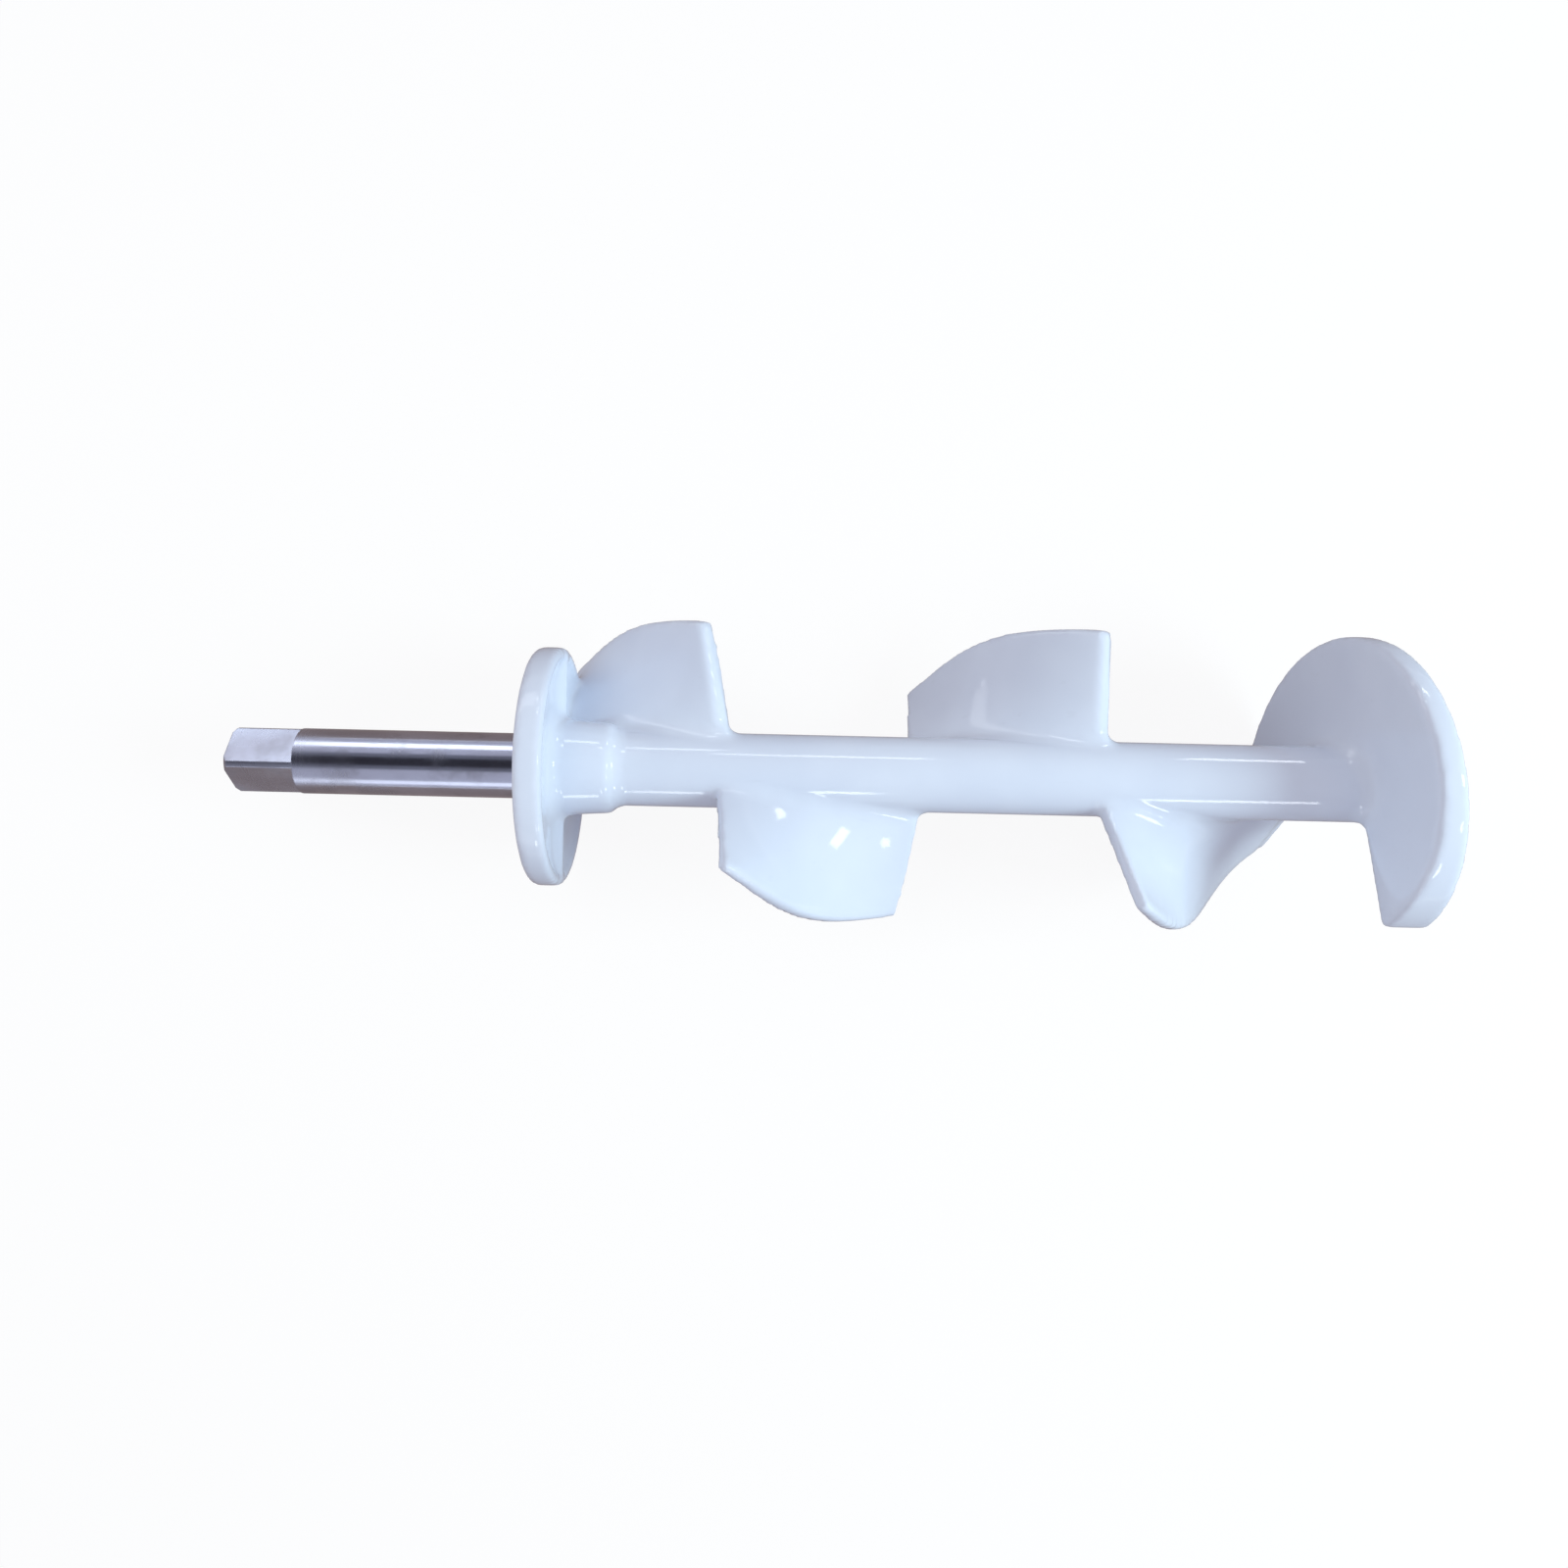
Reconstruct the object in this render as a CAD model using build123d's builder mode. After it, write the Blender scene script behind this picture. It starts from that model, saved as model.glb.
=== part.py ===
"""Agitator for a soft ice cream machine: a steel drive shaft moulded into a white plastic body.

Frame: the shaft axis is X, the origin is on that axis at the back face of the flange, the drive
square points to -X and the nose to +X. The first and third paddles stand out to +Y. Angles about
the axis are counted from +Y towards +Z.
"""

import os
from math import cos, hypot, radians, sin, tan

from build123d import *

# Steel shaft
shaft_diameter = 16.0
square_across_flats = 12.0
square_corner_diameter = 15.6
square_length = 16.6
square_roll = 36.0
square_lead_length = 1.0
square_lead_drop = 1.0
journal_length = 57.4
seat_diameter = 14.0
seat_depth = 14.0
spigot_diameter = 11.0
spigot_across_flats = 8.5
spigot_length = 42.0

# Flange and hub at the drive end
flange_diameter = 58.2
flange_thickness = 6.6
flange_edge_chamfer = 0.5
dish_depth = 2.2
rim_wall = 3.0
rib_thickness = 2.4
hub_root_diameter = 24.0
hub_end_diameter = 22.2
hub_length = 18.4
hub_step = 1.2

# Centre tube
tube_diameter = 18.5
body_length = 206.6

# Paddles, half a turn apart and one pitch on from each other, the third a little longer
sweep_diameter = 72.6
paddle_start = 2.4
paddle_pitch = 46.8
paddle_length = 39.4
paddle_crest = 26.4
paddle_lead_angle = -53.0
paddle_trail_angle = 13.0
paddle_root_thickness = 6.0
paddle_tip_thickness = 4.4
paddle_lead_flare = 4.4
paddle_trail_flare = 5.0
third_length = 41.9
third_trail_flare = 1.0

# Last paddle, with the web that carries it on behind the tube to the end flight
last_start = 144.0
last_length = 13.0
last_lead_flare = 7.2
last_lead_angle = -36.0
last_middle_angle = -19.0
last_trail_angle = -2.0

# End flight
flight_diameter = 72.0
flight_start_angle = 240.0
flight_rise_angle = 210.0
flight_flat_angle = 70.0
flight_start = 185.0
flight_lead = 27.5
flight_thickness = 6.2
flight_toe_thickness = 10.8
flight_step_angle = 30.0
flight_foot = 2.0

# Moulding details
root_height = 1.0
tip_margin = 6.0
edge_chamfer = 0.6
tolerance = 0.02

sweep_radius = sweep_diameter / 2
tube_radius = tube_diameter / 2
loft_tip = sweep_radius + tip_margin
dish_floor = flange_thickness - dish_depth
quarter_turn = 90.0
half_turn = 180.0
full_turn = 360.0
arc_shares = (0.0, 0.5, 1.0)


def reach(point):
    """Distance of a point from the shaft axis."""
    return hypot(point.Y, point.Z)


def lies_at(edge, radius):
    """Whether an edge lies on the cylinder of a radius about the shaft axis."""
    return all(abs(reach(edge @ share) - radius) < tolerance for share in arc_shares)


def paddle_section(stations, height, lead_flare, trail_flare):
    """Flat-ended section of a paddle along its arcs, in the plane at a height above the axis."""
    rise = (sweep_radius - height) / (sweep_radius - tube_radius)
    half = (paddle_tip_thickness + rise * (paddle_root_thickness - paddle_tip_thickness)) / 2
    points = [(place, height * tan(radians(angle))) for place, angle in stations]
    points[0] = (points[0][0] - rise * lead_flare, points[0][1])
    points[-1] = (points[-1][0] + rise * trail_flare, points[-1][1])
    with BuildSketch(Plane.XZ.offset(-height)) as section:
        with BuildLine():
            middle = [ThreePointArc(*points[:3], mode=Mode.PRIVATE)]
            for end in points[3:]:
                middle.append(TangentArc(middle[-1] @ 1, end, tangent=middle[-1] % 1, mode=Mode.PRIVATE))
            for side in (half, -half):
                for arc in middle:
                    ThreePointArc(
                        *[arc @ share + side * (arc % share).rotate(Axis.Z, quarter_turn) for share in arc_shares]
                    )
            for arc, share in ((middle[0], arc_shares[0]), (middle[-1], arc_shares[-1])):
                across = half * (arc % share).rotate(Axis.Z, quarter_turn)
                Line(arc @ share + across, arc @ share - across)
        make_face()
    return section.sketch


def paddle_solid(stations, lead_flare, trail_flare):
    """Twisted paddle on the +Y side, from (place along the axis, angle) stations."""
    with BuildPart() as paddle:
        for height in (root_height, loft_tip):
            add(paddle_section(stations, height, lead_flare, trail_flare))
        loft(ruled=True)
        with BuildSketch(Plane.YZ):
            Circle(sweep_radius)
        extrude(amount=body_length, both=True, mode=Mode.INTERSECT)
        chamfer(edges().filter_by(lambda edge: lies_at(edge, sweep_radius)), length=edge_chamfer)
    return paddle.part


def flight_section(turn):
    """Section of the end flight in a plane through the axis, a number of degrees on from its start."""
    face = flight_start + flight_lead * min(turn, flight_rise_angle) / full_turn
    toe = max(0.0, turn - flight_rise_angle) / flight_flat_angle
    back = face + flight_thickness + toe * (flight_toe_thickness - flight_thickness)
    angle = radians(flight_start_angle + turn)
    with BuildSketch(Plane((0, 0, 0), x_dir=(1, 0, 0), z_dir=(0, -sin(angle), cos(angle)))) as section:
        with BuildLine():
            Polyline(
                (face - 2 * flight_foot, root_height),
                (back, root_height),
                (back, loft_tip),
                (face, loft_tip),
                (face, tube_radius + flight_foot),
                (face - 2 * flight_foot, tube_radius - flight_foot),
                close=True,
            )
        make_face()
    return section.sketch


with BuildPart() as drive_shaft:
    # Turned blank, from the drive end to the spigot that is moulded in
    tip = -journal_length - square_length
    with BuildSketch(Plane.XY):
        with BuildLine():
            Polyline(
                (tip, 0),
                (tip, shaft_diameter / 2 - square_lead_drop),
                (tip + square_lead_length, shaft_diameter / 2),
                (0, shaft_diameter / 2),
                (0, seat_diameter / 2),
                (seat_depth, seat_diameter / 2),
                (seat_depth, spigot_diameter / 2),
                (seat_depth + spigot_length, spigot_diameter / 2),
                (seat_depth + spigot_length, 0),
                close=True,
            )
        make_face()
    revolve(axis=Axis.X)
    # Milled drive square
    with BuildSketch(Plane.YZ.offset(tip)):
        Circle(shaft_diameter)
        Rectangle(square_across_flats, square_across_flats, rotation=-square_roll, mode=Mode.SUBTRACT)
    extrude(amount=square_length, mode=Mode.SUBTRACT)
    with BuildSketch(Plane.YZ.offset(tip)):
        Circle(shaft_diameter)
        Circle(square_corner_diameter / 2, mode=Mode.SUBTRACT)
    extrude(amount=square_length, mode=Mode.SUBTRACT)
    # Two flats on the spigot, which stop the plastic from slipping round
    with BuildSketch(Plane.YZ.offset(seat_depth)):
        Circle(shaft_diameter)
        Rectangle(spigot_across_flats, 2 * shaft_diameter, mode=Mode.SUBTRACT)
    extrude(amount=spigot_length, mode=Mode.SUBTRACT)
drive_shaft.part.label = "drive_shaft"

lead_stations = [(paddle_start, paddle_lead_angle), (paddle_start + paddle_crest, 0.0)]
paddle = paddle_solid(
    lead_stations + [(paddle_start + paddle_length, paddle_trail_angle)], paddle_lead_flare, paddle_trail_flare
)
third_paddle = paddle_solid(
    lead_stations + [(paddle_start + third_length, paddle_trail_angle)], paddle_lead_flare, third_trail_flare
)
with BuildPart() as first_paddle:
    add(paddle)
    split(bisect_by=Plane.YZ.offset(dish_floor), keep=Keep.TOP)
last_paddle = paddle_solid(
    [
        (last_start, last_lead_angle),
        (last_start + last_length / 2, last_middle_angle),
        (last_start + last_length, last_trail_angle),
        (flight_start + flight_thickness / 2, flight_start_angle - half_turn),
    ],
    last_lead_flare,
    0.0,
)

with BuildPart() as end_flight:
    steps = round((flight_rise_angle + flight_flat_angle) / flight_step_angle)
    for step in range(steps + 1):
        add(flight_section(step * (flight_rise_angle + flight_flat_angle) / steps))
    loft()
    with BuildSketch(Plane.YZ):
        Circle(flight_diameter / 2)
    extrude(amount=2 * body_length, both=True, mode=Mode.INTERSECT)
    chamfer(edges().filter_by(lambda edge: lies_at(edge, flight_diameter / 2)), length=edge_chamfer)

with BuildPart() as agitator_body:
    # Dished flange, hub and centre tube
    with BuildSketch(Plane.XZ):
        with BuildLine():
            Polyline(
                (0, 0),
                (0, flange_diameter / 2 - flange_edge_chamfer),
                (flange_edge_chamfer, flange_diameter / 2),
                (flange_thickness - flange_edge_chamfer, flange_diameter / 2),
                (flange_thickness, flange_diameter / 2 - flange_edge_chamfer),
                (flange_thickness, flange_diameter / 2 - rim_wall),
                (dish_floor, flange_diameter / 2 - rim_wall),
                (dish_floor, hub_root_diameter / 2),
                (hub_length, hub_end_diameter / 2),
                (hub_length + hub_step, tube_radius),
                (body_length, tube_radius),
                (body_length, 0),
                close=True,
            )
        make_face()
    revolve(axis=Axis.X)
    # Ribs across the dish
    with BuildSketch(Plane.YZ.offset(dish_floor)):
        Rectangle(flange_diameter - rim_wall, rib_thickness)
    extrude(amount=dish_depth)
    # Paddles and end flight
    add(first_paddle.part)
    with Locations(Location((paddle_pitch, 0, 0), (half_turn, 0, 0))):
        add(paddle)
    with Locations(Location((2 * paddle_pitch, 0, 0))):
        add(third_paddle)
    with Locations(Location((0, 0, 0), (half_turn, 0, 0))):
        add(last_paddle)
    add(end_flight.part)
    # Seat of the shaft
    add(drive_shaft.part, mode=Mode.SUBTRACT)
agitator_body.part.label = "agitator_body"

os.makedirs("parts", exist_ok=True)
export_step(drive_shaft.part, "parts/drive_shaft.step")
export_step(agitator_body.part, "parts/agitator_body.step")
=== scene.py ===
"""Looks for the agitator shaft of an ice cream machine, dressed over its solids."""

import logging
import math
from dataclasses import dataclass, field
from enum import Enum
from typing import Any, Union

import bmesh
import bpy
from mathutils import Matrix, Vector


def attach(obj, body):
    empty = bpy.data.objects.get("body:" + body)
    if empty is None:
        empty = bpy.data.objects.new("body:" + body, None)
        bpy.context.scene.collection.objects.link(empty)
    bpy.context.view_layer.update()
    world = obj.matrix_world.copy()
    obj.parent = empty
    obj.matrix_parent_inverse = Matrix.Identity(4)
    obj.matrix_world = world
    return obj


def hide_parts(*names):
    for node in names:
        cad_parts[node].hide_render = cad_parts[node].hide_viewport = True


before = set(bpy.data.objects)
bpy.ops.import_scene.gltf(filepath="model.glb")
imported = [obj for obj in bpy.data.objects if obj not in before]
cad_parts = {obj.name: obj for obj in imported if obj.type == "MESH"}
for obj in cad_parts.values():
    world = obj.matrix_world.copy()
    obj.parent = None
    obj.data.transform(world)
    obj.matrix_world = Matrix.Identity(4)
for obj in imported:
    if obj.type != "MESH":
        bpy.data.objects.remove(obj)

LOG = logging.getLogger("agitator")

MM = 0.001

# Points on the axis that the lamps shine at.
FLANGE = Vector((0.0, 0.0, 0.0))
TUBE = Vector((60.0 * MM, 0.0, 0.0))

Operand = Union["Value", int, float]
Key = int | str
Colour = tuple[float, float, float]
Span = tuple[float, float]


class Slot(Enum):
    """Names of the material slots in the record for each piece's finish, which the script only logs."""

    STEEL = "steel"
    PLASTIC = "plastic"


class Side(Enum):
    """Side of the shaft that a lamp or a paddle stands on, as the sign of its Y."""

    FRONT = -1
    BACK = 1


class LampUse(Enum):
    """What a lamp is for, as the kind of ray that doesn't see it."""

    SHADING = "visible_glossy"
    GLOSS = "visible_diffuse"


class Value:
    """A number that varies over a surface, wrapped so that maths on it adds nodes."""

    def __init__(self, graph: "Graph", socket: bpy.types.NodeSocket) -> None:
        """Keeps the socket and the graph that its maths goes into."""
        self.graph = graph
        self.socket = socket

    def _maths(self, operation: str, first: Operand, second: Operand) -> "Value":
        """Adds one Math node.

        Args:
            operation: the node's operation.
            first: the number on the left.
            second: the number on the right.

        Returns:
            The node's result.
        """
        return self.graph.node("ShaderNodeMath", {"operation": operation}, {0: first, 1: second}).value(0)

    def __add__(self, other: Operand) -> "Value":
        """Adds."""
        return self._maths("ADD", self, other)

    __radd__ = __add__

    def __sub__(self, other: Operand) -> "Value":
        """Takes a number away from this one."""
        return self._maths("SUBTRACT", self, other)

    def __rsub__(self, other: Operand) -> "Value":
        """Takes this one away from a number."""
        return self._maths("SUBTRACT", other, self)

    def __mul__(self, other: Operand) -> "Value":
        """Multiplies."""
        return self._maths("MULTIPLY", self, other)

    __rmul__ = __mul__

    def above(self, limit: Operand) -> "Value":
        """1 where this is above the limit, and 0 elsewhere."""
        return self._maths("GREATER_THAN", self, limit)

    def below(self, limit: Operand) -> "Value":
        """1 where this is below the limit, and 0 elsewhere."""
        return self._maths("LESS_THAN", self, limit)

    def ramp(self, low: Operand, high: Operand) -> "Value":
        """Rises smoothly from 0 to 1.

        Args:
            low: where it starts to rise.
            high: where it has risen.

        Returns:
            A number from 0 to 1.
        """
        settings = {"interpolation_type": "SMOOTHSTEP"}
        sockets = {"Value": self, "From Min": low, "From Max": high}
        return self.graph.node("ShaderNodeMapRange", settings, sockets).value(0)


class Node:
    """A node of a graph, with its outputs in reach."""

    def __init__(self, graph: "Graph", node: bpy.types.Node) -> None:
        """Keeps the node and its graph."""
        self.graph = graph
        self.node = node

    def value(self, output: Key) -> Value:
        """One output as a number for maths."""
        return Value(self.graph, self.node.outputs[output])

    def out(self, output: Key = 0) -> bpy.types.NodeSocket:
        """One output as a plain socket."""
        return self.node.outputs[output]


@dataclass(frozen=True)
class Pattern:
    """Cloudy noise: clouds in a metre, octaves, how much closer it lies along each axis, and its span."""

    scale: float
    detail: float = 2.0
    stretch: Colour = (1.0, 1.0, 1.0)
    span: Span = (0.0, 1.0)


class Graph:
    """The nodes of one material, world or shape."""

    def __init__(self, tree: bpy.types.NodeTree) -> None:
        """Empties the tree and keeps it."""
        self.tree = tree
        tree.nodes.clear()

    def node(
        self,
        kind: str,
        settings: dict[str, Any] | None = None,
        sockets: dict[Key, Any] | None = None,
    ) -> Node:
        """Adds any node.

        Args:
            kind: the node's type.
            settings: its settings, set before its sockets.
            sockets: its inputs by name or number, each a number, a colour, a socket or a Value.

        Returns:
            The node.
        """
        made = self.tree.nodes.new(kind)
        for name, setting in (settings or {}).items():
            setattr(made, name, setting)
        for name, source in (sockets or {}).items():
            target = made.inputs[name]
            if isinstance(source, Value):
                source = source.socket
            if isinstance(source, bpy.types.NodeSocket):
                self.tree.links.new(source, target)
            elif target.type == "RGBA":
                target.default_value = (*source, 1.0)
            else:
                target.default_value = source
        return Node(self, made)

    def place(self) -> bpy.types.NodeSocket:
        """The point on the surface, in the object's own metres."""
        return self.node("ShaderNodeTexCoord").out("Object")

    def noise(self, pattern: Pattern) -> Value:
        """Adds a pattern's noise.

        Args:
            pattern: the pattern.

        Returns:
            A number about 0.5.
        """
        mapped = self.node("ShaderNodeMapping", {}, {"Vector": self.place(), "Scale": pattern.stretch})
        sockets = {"Vector": mapped.out(), "Scale": pattern.scale, "Detail": pattern.detail}
        return self.node("ShaderNodeTexNoise", {}, sockets).value(0)

    def patches(self, pattern: Pattern) -> Value:
        """A pattern's noise, 0 below its span and 1 above it."""
        return self.noise(pattern).ramp(*pattern.span)

    def blend(self, share: Value, first: Any, second: Any) -> bpy.types.NodeSocket:
        """Mixes two colours.

        Args:
            share: how much of the second colour shows.
            first: a colour or a socket.
            second: a colour or a socket.

        Returns:
            The mixed colour.
        """
        mix = self.node("ShaderNodeMix", {"data_type": "RGBA"}, {"Factor": share, 6: first, 7: second})
        return mix.out(2)

    def bump(
        self, height: Value, depth: float, under: bpy.types.NodeSocket | None = None
    ) -> bpy.types.NodeSocket:
        """Turns a height into a normal.

        Args:
            height: the height, from 0 to 1.
            depth: what a height of 1 stands for, in metres.
            under: the normal that it lies on, or None for the smooth surface.

        Returns:
            The normal.
        """
        sockets = {"Height": height, "Strength": 1.0, "Distance": depth}
        if under is not None:
            sockets["Normal"] = under
        return self.node("ShaderNodeBump", {}, sockets).out()


@dataclass(frozen=True)
class Finish:
    """What every finish shares: it makes a material from its surface."""

    def build(self, name: str) -> bpy.types.Material:
        """Makes the material.

        Args:
            name: its name.

        Returns:
            The material.
        """
        material = bpy.data.materials.new(name)
        material.use_nodes = True
        graph = Graph(material.node_tree)
        graph.node("ShaderNodeOutputMaterial", {}, {"Surface": self.surface(graph)})
        return material

    def surface(self, graph: Graph) -> bpy.types.NodeSocket:
        """Each finish adds its own nodes to the graph and gives its shader."""
        raise NotImplementedError


@dataclass(frozen=True)
class MouldedPlastic(Finish):
    """Cool white moulded plastic with a gloss, a slow waviness and a few scuffs."""

    pale: Colour = (0.79, 0.84, 0.93)
    deep: Colour = (0.74, 0.79, 0.89)
    scuff: Colour = (0.56, 0.59, 0.64)
    scuff_share: float = 0.08
    refraction: float = 1.48
    gloss: float = 0.06
    cloud_dull: float = 0.042
    scuff_dull: float = 0.12
    wave_depth: float = 0.10 * MM
    grain_depth: float = 0.002 * MM
    clouds: Pattern = Pattern(28.0, 3.0, span=(0.35, 0.68))
    scuffs: Pattern = Pattern(420.0, 4.0, (0.15, 1.0, 1.0), (0.66, 0.74))
    waves: Pattern = Pattern(55.0, 1.0)
    grain: Pattern = Pattern(2600.0)

    def surface(self, graph: Graph) -> bpy.types.NodeSocket:
        """Adds the plastic's nodes.

        Args:
            graph: the material's nodes.

        Returns:
            The shader.
        """
        clouds = graph.noise(self.clouds)
        scuffs = graph.patches(self.scuffs)
        tone = graph.blend(clouds.ramp(*self.clouds.span), self.pale, self.deep)
        waved = graph.bump(graph.noise(self.waves), self.wave_depth)
        sockets = {
            "Base Color": graph.blend(scuffs * self.scuff_share, tone, self.scuff),
            "Roughness": self.gloss + clouds * self.cloud_dull + scuffs * self.scuff_dull,
            "IOR": self.refraction,
            "Normal": graph.bump(graph.noise(self.grain), self.grain_depth, waved),
        }
        return graph.node("ShaderNodeBsdfPrincipled", {}, sockets).out()


@dataclass(frozen=True)
class TurnedSteel(Finish):
    """Bright bar with fine turned rings, worn by the shoulder, and a duller milled square, tinted blue as a
    painted reflection of the sky.
    """

    light: Colour = (0.68, 0.73, 0.88)
    # Blue tint of the milled square: a painted reflection of the bluish sky on its flats, not the steel's own
    # colour.
    painted_sky_tint: Colour = (0.76, 0.84, 1.0)
    dark: Colour = (0.53, 0.55, 0.65)
    stain: Colour = (0.16, 0.14, 0.14)
    smudge_share: float = 0.24
    turned: float = 0.13
    milled: float = 0.24
    worn: float = 0.20
    ring_dull: float = 0.08
    smudge_dull: float = 0.10
    shoulder: float = -57.4 * MM
    worn_length: float = 14.0 * MM
    ring_depth: float = 0.0016 * MM
    mill_depth: float = 0.003 * MM
    edge_round: float = 0.35 * MM
    edge_samples: int = 4
    clouds: Pattern = Pattern(90.0, 4.0, (0.4, 1.0, 1.0), (0.3, 0.7))
    rings: Pattern = Pattern(1.0 / (0.35 * MM), 3.0, (1.0, 0.02, 0.02))
    milling: Pattern = Pattern(900.0, 3.0, (1.0, 0.12, 0.12))
    pits: Pattern = Pattern(240.0, 1.0, span=(0.71, 0.76))
    smudges: Pattern = Pattern(120.0, 3.0, span=(0.50, 0.68))

    def surface(self, graph: Graph) -> bpy.types.NodeSocket:
        """Adds the steel's nodes.

        Args:
            graph: the material's nodes.

        Returns:
            The shader.
        """
        along = graph.node("ShaderNodeSeparateXYZ", {}, {0: graph.place()}).value(0)
        square = along.below(self.shoulder)
        bar = 1 - square
        worn = (1 - along.ramp(self.shoulder, self.shoulder + self.worn_length)) * bar
        clouds = graph.noise(self.clouds)
        rings = graph.noise(self.rings)
        smudges = graph.patches(self.smudges)
        # The square takes the blue tint, a painted sky reflection on its flats.
        bright = graph.blend(square, self.light, self.painted_sky_tint)
        tone = graph.blend(clouds.ramp(*self.clouds.span), bright, self.dark)
        stained = graph.patches(self.pits) * square + smudges * self.smudge_share
        cut = self.turned + square * (self.milled - self.turned) + worn * clouds * self.worn
        rounded = graph.node("ShaderNodeBevel", {"samples": self.edge_samples}, {"Radius": self.edge_round})
        ringed = graph.bump(rings * bar, self.ring_depth, rounded.out())
        sockets = {
            "Base Color": graph.blend(stained, tone, self.stain),
            "Metallic": 1.0,
            "Roughness": cut + rings * self.ring_dull + smudges * self.smudge_dull,
            "Normal": graph.bump(graph.noise(self.milling) * square, self.mill_depth, ringed),
        }
        return graph.node("ShaderNodeBsdfPrincipled", {}, sockets).out()


@dataclass(frozen=True)
class WhiteFloor(Finish):
    """Floor that reads as plain white, with the object's shadow left on it."""

    white: Colour = (1.0, 1.0, 1.0)
    bounce: Colour = (0.60, 0.56, 0.58)
    shadow_share: float = 0.10

    def surface(self, graph: Graph) -> bpy.types.NodeSocket:
        """Adds the floor's nodes.

        Args:
            graph: the material's nodes.

        Returns:
            The shader.
        """
        path = graph.node("ShaderNodeLightPath")
        by_camera = path.value("Is Camera Ray")
        seen = by_camera + path.value("Is Glossy Ray") + path.value("Is Transmission Ray")
        tone = graph.blend(by_camera, self.bounce, self.white)
        lit = graph.node("ShaderNodeBsdfDiffuse", {}, {"Color": tone})
        glow = graph.node("ShaderNodeEmission", {}, {"Color": self.white, "Strength": 1.0})
        share = seen.above(0.0) * (1.0 - self.shadow_share)
        return graph.node("ShaderNodeMixShader", {}, {0: share, 1: lit.out(), 2: glow.out()}).out()


@dataclass(frozen=True)
class EvenTone(Finish):
    """One even tone, whatever light falls on it, for the gloss and the metal to show."""

    tone: Colour

    def surface(self, graph: Graph) -> bpy.types.NodeSocket:
        """Adds the one node that glows in the tone and gives its shader."""
        return graph.node("ShaderNodeEmission", {}, {"Color": self.tone, "Strength": 1.0}).out()


@dataclass
class DriveShaft:
    """The steel shaft with its drive square."""

    node: str = "drive_shaft"
    slot: Slot = Slot.STEEL
    finish: TurnedSteel = field(default_factory=TurnedSteel)

    def dress(self) -> bpy.types.Object:
        """Gives the solid its finish.

        Returns:
            The solid's object.
        """
        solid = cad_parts[self.node]
        solid.data.materials.clear()
        solid.data.materials.append(self.finish.build("turned_steel"))
        return solid


@dataclass(frozen=True)
class PaddleEnd:
    """A paddle's trailing end: its place at the tip, how far it runs on at the root, and its side."""

    tip: float
    run: float
    side: Side


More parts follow.
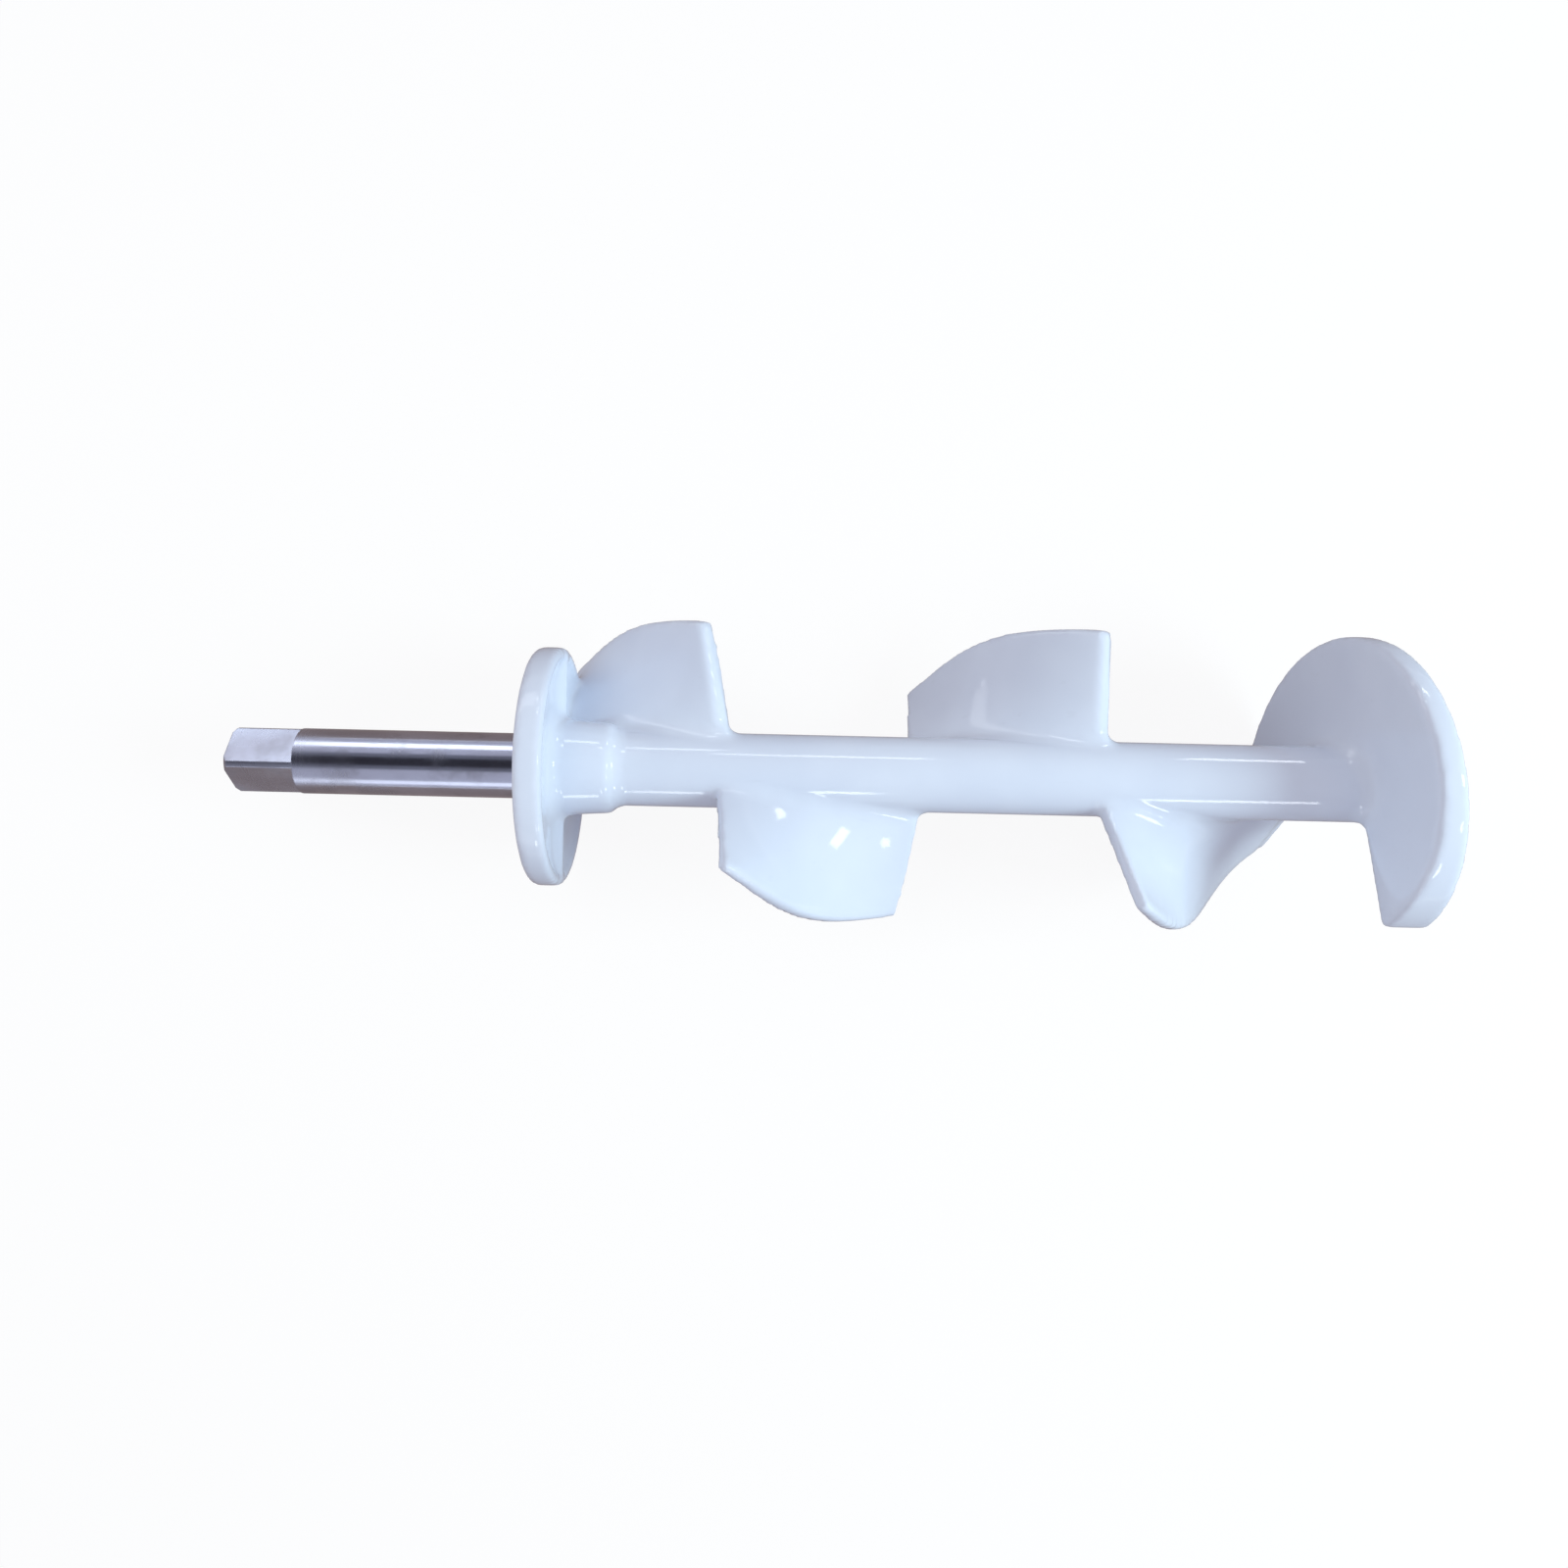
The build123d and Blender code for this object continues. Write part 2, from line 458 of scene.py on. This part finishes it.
@dataclass
class AgitatorBody:
    """The white moulding: flange, hub, tube, paddles and end flight, with soft edges and roots."""

    node: str = "agitator_body"
    body: str = "root"
    slot: Slot = Slot.PLASTIC
    finish: MouldedPlastic = field(default_factory=MouldedPlastic)
    merge: float = 0.001 * MM
    voxel: float = 0.78 * MM
    seat_radius: float = 8.6 * MM
    edge_rounds: int = 4
    root_reach: int = 8
    root_rounds: int = 24
    hollow: float = 0.08 * MM
    sweep_radius: float = 36.3 * MM
    tube_radius: float = 9.25 * MM
    foot_share: float = 1.3
    front_span: Span = (-0.1, 0.5)
    end_round: float = 3.6 * MM
    end_drop: float = 2.6 * MM
    ends: tuple[PaddleEnd, ...] = (
        PaddleEnd(41.8 * MM, 5.0 * MM, Side.BACK),
        PaddleEnd(88.6 * MM, 5.0 * MM, Side.FRONT),
        PaddleEnd(137.9 * MM, 1.0 * MM, Side.BACK),
    )

    def dress(self) -> bpy.types.Object:
        """Makes the softened moulding in place of its solid.

        Returns:
            The moulding.
        """
        piece = self._copy()
        skin = piece.modifiers.new("even_skin", "REMESH")
        skin.mode, skin.voxel_size = "VOXEL", self.voxel
        inputs = self._inputs()
        soften = piece.modifiers.new("soften", "NODES")
        soften.node_group = self._tree(inputs)
        for socket in soften.node_group.interface.items_tree:
            if socket.name in inputs:
                soften[socket.identifier] = inputs[socket.name][1]
        shown = piece.evaluated_get(bpy.context.evaluated_depsgraph_get())
        mesh = bpy.data.meshes.new_from_object(shown)
        piece.modifiers.clear()
        piece.data = mesh
        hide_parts(self.node)
        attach(piece, self.body)
        return piece

    def _copy(self) -> bpy.types.Object:
        """Copies the solid into a new piece, with its loose triangles joined.

        Returns:
            The piece.
        """
        mesh = bpy.data.meshes.new("moulding")
        joined = bmesh.new()
        joined.from_mesh(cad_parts[self.node].data)
        bmesh.ops.remove_doubles(joined, verts=joined.verts, dist=self.merge)
        joined.to_mesh(mesh)
        joined.free()
        piece = bpy.data.objects.new("moulding", mesh)
        bpy.context.scene.collection.objects.link(piece)
        return piece

    def _inputs(self) -> dict[str, tuple[str, Any]]:
        """Lists what the softening nodes are given.

        Returns:
            Each input's kind and value, by its name.
        """
        return {
            "Seat Radius": ("NodeSocketFloat", self.seat_radius),
            "Edge Rounds": ("NodeSocketInt", self.edge_rounds),
            "Root Reach": ("NodeSocketInt", self.root_reach),
            "Root Rounds": ("NodeSocketInt", self.root_rounds),
            "Hollow": ("NodeSocketFloat", self.hollow),
            "End Round": ("NodeSocketFloat", self.end_round),
            "End Drop": ("NodeSocketFloat", self.end_drop),
            "Finish": ("NodeSocketMaterial", self.finish.build("moulded_plastic")),
        }

    def _tree(self, inputs: dict[str, tuple[str, Any]]) -> bpy.types.NodeTree:
        """Builds the nodes that round every edge a little and every hollow root more.

        Args:
            inputs: each input's kind and value, by its name.

        Returns:
            The tree.
        """
        tree = bpy.data.node_groups.new("soft_moulding", "GeometryNodeTree")
        tree.interface.new_socket("Geometry", in_out="OUTPUT", socket_type="NodeSocketGeometry")
        tree.interface.new_socket("Geometry", in_out="INPUT", socket_type="NodeSocketGeometry")
        for name, (kind, _) in inputs.items():
            tree.interface.new_socket(name, in_out="INPUT", socket_type=kind)
        graph = Graph(tree)
        given = graph.node("NodeGroupInput")
        free = self._free(graph, given)
        shape = given.out("Geometry")
        for end in self.ends:
            shape = self._round_end(graph, shape, given, end)
        shape = self._blur(graph, shape, given.out("Edge Rounds"), free)
        shape = self._blur(graph, shape, given.out("Root Rounds"), self._hollows(graph, given) * free)
        shape = graph.node("GeometryNodeSetShadeSmooth", {}, {0: shape}).out()
        shape = graph.node("GeometryNodeRealizeInstances", {}, {0: shape}).out()
        finished = graph.node("GeometryNodeSetMaterial", {}, {0: shape, "Material": given.out("Finish")})
        graph.node("NodeGroupOutput", {}, {0: finished.out()})
        return tree

    @staticmethod
    def _parts(graph: Graph, kind: str) -> Node:
        """The parts along X, Y and Z of a point's position or normal."""
        return graph.node("ShaderNodeSeparateXYZ", {}, {0: graph.node(kind).out()})

    def _free(self, graph: Graph, given: Node) -> Value:
        """Finds the points outside the seat that holds the steel, which stays as it is.

        Args:
            graph: the tree that the nodes go into.
            given: the tree's inputs.

        Returns:
            1 outside the seat, and 0 in it.
        """
        place = self._parts(graph, "GeometryNodeInputPosition")
        across, up, seat = place.value(1), place.value(2), given.value("Seat Radius")
        return (across * across + up * up - seat * seat).above(0.0)

    def _hollows(self, graph: Graph, given: Node) -> Value:
        """Finds the hollow roots, where a wide blur lifts the surface.

        Args:
            graph: the tree that the nodes go into.
            given: the tree's inputs.

        Returns:
            1 in a hollow, and 0 on a flat or an edge.
        """
        position = graph.node("GeometryNodeInputPosition").out()
        normal = graph.node("GeometryNodeInputNormal").out()
        sockets = {0: position, "Iterations": given.out("Root Reach")}
        wide = graph.node("GeometryNodeBlurAttribute", {"data_type": "FLOAT_VECTOR"}, sockets).out()
        lift = graph.node("ShaderNodeVectorMath", {"operation": "SUBTRACT"}, {0: wide, 1: position}).out()
        rise = graph.node("ShaderNodeVectorMath", {"operation": "DOT_PRODUCT"}, {0: lift, 1: normal}).value(1)
        return rise.ramp(0.0, given.value("Hollow"))

    def _round_end(
        self, graph: Graph, shape: bpy.types.NodeSocket, given: Node, end: PaddleEnd
    ) -> bpy.types.NodeSocket:
        """Rolls the front face of a paddle over towards its trailing end.

        Args:
            graph: the tree that the nodes go into.
            shape: the shape.
            given: the tree's inputs.
            end: the paddle's trailing end.

        Returns:
            The shape with that end rolled over.
        """
        place = self._parts(graph, "GeometryNodeInputPosition")
        facing = self._parts(graph, "GeometryNodeInputNormal")
        side = end.side.value
        reach = given.value("End Round")
        height = place.value(1) * side
        slant = end.run / (self.sweep_radius - self.tube_radius)
        past = place.value(0) - (end.tip + (self.sweep_radius - height) * slant) + reach
        # The smooth rise is half way up at the end itself, so it has twice the reach and twice the drop.
        rolled = past.ramp(0.0, 2 * reach) * past.below(2 * reach)
        front = (facing.value(2) * side).ramp(*self.front_span)
        clear = height.ramp(self.tube_radius, self.foot_share * self.tube_radius)
        down = rolled * front * clear * given.value("End Drop") * (-2 * side)
        offset = graph.node("ShaderNodeCombineXYZ", {}, {2: down}).out()
        return graph.node("GeometryNodeSetPosition", {}, {"Geometry": shape, "Offset": offset}).out()

    @staticmethod
    def _blur(
        graph: Graph, shape: bpy.types.NodeSocket, rounds: bpy.types.NodeSocket, share: Value
    ) -> bpy.types.NodeSocket:
        """Evens out a shape by moving each point towards its neighbours.

        Args:
            graph: the tree that the nodes go into.
            shape: the shape.
            rounds: how often each point moves.
            share: how far each point goes, from 0 to 1.

        Returns:
            The evened shape.
        """
        position = graph.node("GeometryNodeInputPosition").out()
        sockets = {0: position, "Iterations": rounds, "Weight": share}
        evened = graph.node("GeometryNodeBlurAttribute", {"data_type": "FLOAT_VECTOR"}, sockets).out()
        return graph.node("GeometryNodeSetPosition", {}, {"Geometry": shape, "Position": evened}).out()


@dataclass(frozen=True)
class Lamp:
    """A rectangular lamp: its place, what it shines at, its length and width, its light and its use."""

    name: str
    place: Vector
    aim: Vector
    size: Span
    watts: float
    colour: Colour
    use: LampUse = LampUse.SHADING

    def build(self) -> None:
        """Hangs the lamp in the scene."""
        data = bpy.data.lights.new(self.name, "AREA")
        data.shape = "RECTANGLE"
        data.size, data.size_y = self.size
        data.energy = self.watts
        data.color = self.colour
        lamp = bpy.data.objects.new(self.name, data)
        lamp.location = self.place
        lamp.rotation_euler = (self.place - self.aim).to_track_quat("Z", "Y").to_euler()
        setattr(lamp, self.use.value, False)
        bpy.context.scene.collection.objects.link(lamp)


@dataclass(frozen=True)
class Strip:
    """A long lamp for the steel to show: the side it stands on, its lean from straight up, and its power."""

    name: str
    side: Side
    lean: float
    watts: float
    size: Span = (0.85, 0.18)
    distance: float = 0.7
    middle: float = -0.52

    def lamp(self, colour: Colour) -> Lamp:
        """Works out the lamp.

        Args:
            colour: its colour.

        Returns:
            The lamp.
        """
        turn = math.radians(self.lean)
        aim = Vector((self.middle, 0.0, 0.0))
        reach = Vector((0.0, self.side.value * math.sin(turn), math.cos(turn))) * self.distance
        return Lamp(self.name, aim + reach, aim, self.size, self.watts, colour, LampUse.GLOSS)


@dataclass(frozen=True)
class Glint:
    """A small lamp that the plastic's gloss shows: its place, its size, and how bright it looks."""

    name: str
    place: Vector
    size: Span
    glare: float = 8.0

    def lamp(self, colour: Colour) -> Lamp:
        """Works out the lamp.

        Args:
            colour: its colour.

        Returns:
            The lamp.
        """
        watts = self.glare * math.pi * self.size[0] * self.size[1]
        return Lamp(self.name, self.place, TUBE, self.size, watts, colour, LampUse.GLOSS)


@dataclass(frozen=True)
class Card:
    """A level card over the steel: its tone, its height, and how far it reaches to the front and the back."""

    name: str
    paint: str
    tone: Colour
    height: float
    front: float
    back: float


@dataclass
class Studio:
    """Floor, world, lamps and cards round the object."""

    flange_radius: float = 29.1 * MM
    flight_radius: float = 36.0 * MM
    flight_place: float = 187.0 * MM
    floor_half: float = 3.0
    sky: Colour = (0.98, 0.97, 1.12)
    sky_strength: float = 0.49
    soft_lamps: tuple[Lamp, ...] = (
        Lamp("broad_lamp", Vector((0.80, -0.06, 0.50)), TUBE, (0.4, 0.4), 5.1, (0.78, 1.0, 1.06)),
        Lamp("fill_lamp", Vector((-0.65, 0.28, 0.30)), TUBE, (0.4, 0.4), 0.45, (0.95, 1.0, 0.95)),
        Lamp("near_lamp", Vector((-0.10, 0.08, 0.34)), FLANGE, (0.2, 0.2), 0.20, (0.95, 1.0, 0.95)),
    )
    gloss_colour: Colour = (0.92, 0.96, 1.0)
    strips: tuple[Strip, ...] = (
        Strip("back_strip", Side.BACK, 63.0, 0.90),
        Strip("front_strip", Side.FRONT, 73.0, 0.37),
    )
    glints: tuple[Glint, ...] = (
        Glint("right_back", Vector((0.52, 0.78, 0.29)), (0.14, 0.10)),
        Glint("right_front", Vector((0.50, -0.74, 0.39)), (0.18, 0.10)),
        Glint("left_front", Vector((0.12, -0.80, 0.43)), (0.07, 0.13)),
        Glint("left_back", Vector((0.10, 0.69, 0.59)), (0.22, 0.08), 6.0),
        Glint("hub_back", Vector((-0.05, 0.81, 0.41)), (0.10, 0.10), 5.0),
        Glint("hub_front", Vector((-0.05, -0.88, 0.23)), (0.10, 0.12), 6.0),
        Glint("blade_large", Vector((0.77, 0.09, 0.57)), (0.12, 0.20)),
        Glint("blade_small", Vector((0.70, -0.34, 0.58)), (0.07, 0.07)),
        Glint("blade_left", Vector((-0.67, 0.42, 0.21)), (0.03, 0.03)),
    )
    card_left: float = -0.9
    card_right: float = -0.02
    cards: tuple[Card, ...] = (
        Card("overhead_card", "dark_card", (0.03, 0.028, 0.035), 0.42, -0.08, 0.14),
        Card("wide_card", "grey_card", (0.15, 0.15, 0.18), 0.45, -0.20, 0.28),
    )
    low_tone: Colour = (0.27, 0.215, 0.205)
    low_half: float = 0.7
    low_lift: float = 0.5 * MM

    def build(self) -> None:
        """Makes everything that stands round the object."""
        self._plane("floor", self._on_floor(self.floor_half, 0.0), WhiteFloor().build("white_floor"))
        self._world()
        for lamp in self._lamps():
            lamp.build()
        self._cards()

    def _plane(self, name: str, corners: list[Vector], material: bpy.types.Material) -> bpy.types.Object:
        """Makes a flat stage piece.

        Args:
            name: its name.
            corners: its four corners, in metres.
            material: its material.

        Returns:
            The piece.
        """
        mesh = bpy.data.meshes.new(name)
        mesh.from_pydata([tuple(corner) for corner in corners], [], [(0, 1, 2, 3)])
        mesh.materials.append(material)
        piece = bpy.data.objects.new(name, mesh)
        bpy.context.scene.collection.objects.link(piece)
        return piece

    def _on_floor(self, half: float, lift: float) -> list[Vector]:
        """Places a square along the floor, which the flange's and the flight's rims lie on.

        Args:
            half: half its side.
            lift: its height above the floor.

        Returns:
            Its four corners.
        """
        slope = (self.flange_radius - self.flight_radius) / self.flight_place
        signs = ((-1, -1), (1, -1), (1, 1), (-1, 1))
        return [Vector((i * half, j * half, slope * i * half - self.flange_radius + lift)) for i, j in signs]

    def _world(self) -> None:
        """Gives soft light from all round, and white behind the object."""
        world = bpy.data.worlds.new("soft_sky")
        world.use_nodes = True
        bpy.context.scene.world = world
        graph = Graph(world.node_tree)
        seen = graph.node("ShaderNodeLightPath").value("Is Camera Ray")
        soft = graph.node("ShaderNodeBackground", {}, {"Color": self.sky, "Strength": self.sky_strength})
        white = graph.node("ShaderNodeBackground", {}, {"Color": (1.0, 1.0, 1.0), "Strength": 1.0})
        mixed = graph.node("ShaderNodeMixShader", {}, {0: seen, 1: soft.out(), 2: white.out()})
        graph.node("ShaderNodeOutputWorld", {}, {"Surface": mixed.out()})

    def _lamps(self) -> list[Lamp]:
        """Lists the lamps: strips for the steel, soft ones for the shading, and glints for the gloss.

        Returns:
            The lamps.
        """
        strips = [strip.lamp(self.gloss_colour) for strip in self.strips]
        glints = [glint.lamp(self.gloss_colour) for glint in self.glints]
        return [*strips, *self.soft_lamps, *glints]

    def _cards(self) -> None:
        """Sets cards overhead and along the floor that only gloss and metal show."""
        low = EvenTone(self.low_tone).build("brown_card")
        pieces = [self._plane("low_card", self._on_floor(self.low_half, self.low_lift), low)]
        for card in self.cards:
            left, right = self.card_left, self.card_right
            outline = ((left, card.front), (right, card.front), (right, card.back), (left, card.back))
            corners = [Vector((x, y, card.height)) for x, y in outline]
            pieces.append(self._plane(card.name, corners, EvenTone(card.tone).build(card.paint)))
        for piece in pieces:
            piece.visible_camera = False
            piece.visible_diffuse = False
            piece.visible_shadow = False
            piece.visible_transmission = False


@dataclass
class OverheadCamera:
    """Camera that looks straight down on the object, as the catalogue picture does."""

    place: Vector = field(default_factory=lambda: Vector((60.27 * MM, -2.98 * MM, 276.7 * MM)))
    roll: float = 1.32
    sensor: float = 36.0
    focal_length: float = 25.875
    nearest: float = 10.0 * MM

    def build(self) -> None:
        """Makes the camera and hands it to the scene."""
        data = bpy.data.cameras.new("overhead")
        data.sensor_width = self.sensor
        data.lens = self.focal_length
        data.clip_start = self.nearest
        camera = bpy.data.objects.new("overhead", data)
        camera.location = self.place
        camera.rotation_euler = (0.0, 0.0, math.radians(self.roll))
        bpy.context.scene.collection.objects.link(camera)
        bpy.context.scene.camera = camera


def main() -> None:
    """Dresses the solids and sets the stage."""
    logging.basicConfig(level=logging.INFO, format="%(name)s: %(message)s")
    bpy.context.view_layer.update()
    bpy.context.scene.view_settings.view_transform = "Standard"
    for assembly in (DriveShaft(), AgitatorBody()):
        piece = assembly.dress()
        LOG.info("%s dressed in %s", piece.name, assembly.slot.value)
    Studio().build()
    OverheadCamera().build()


if __name__ == "__main__":
    main()
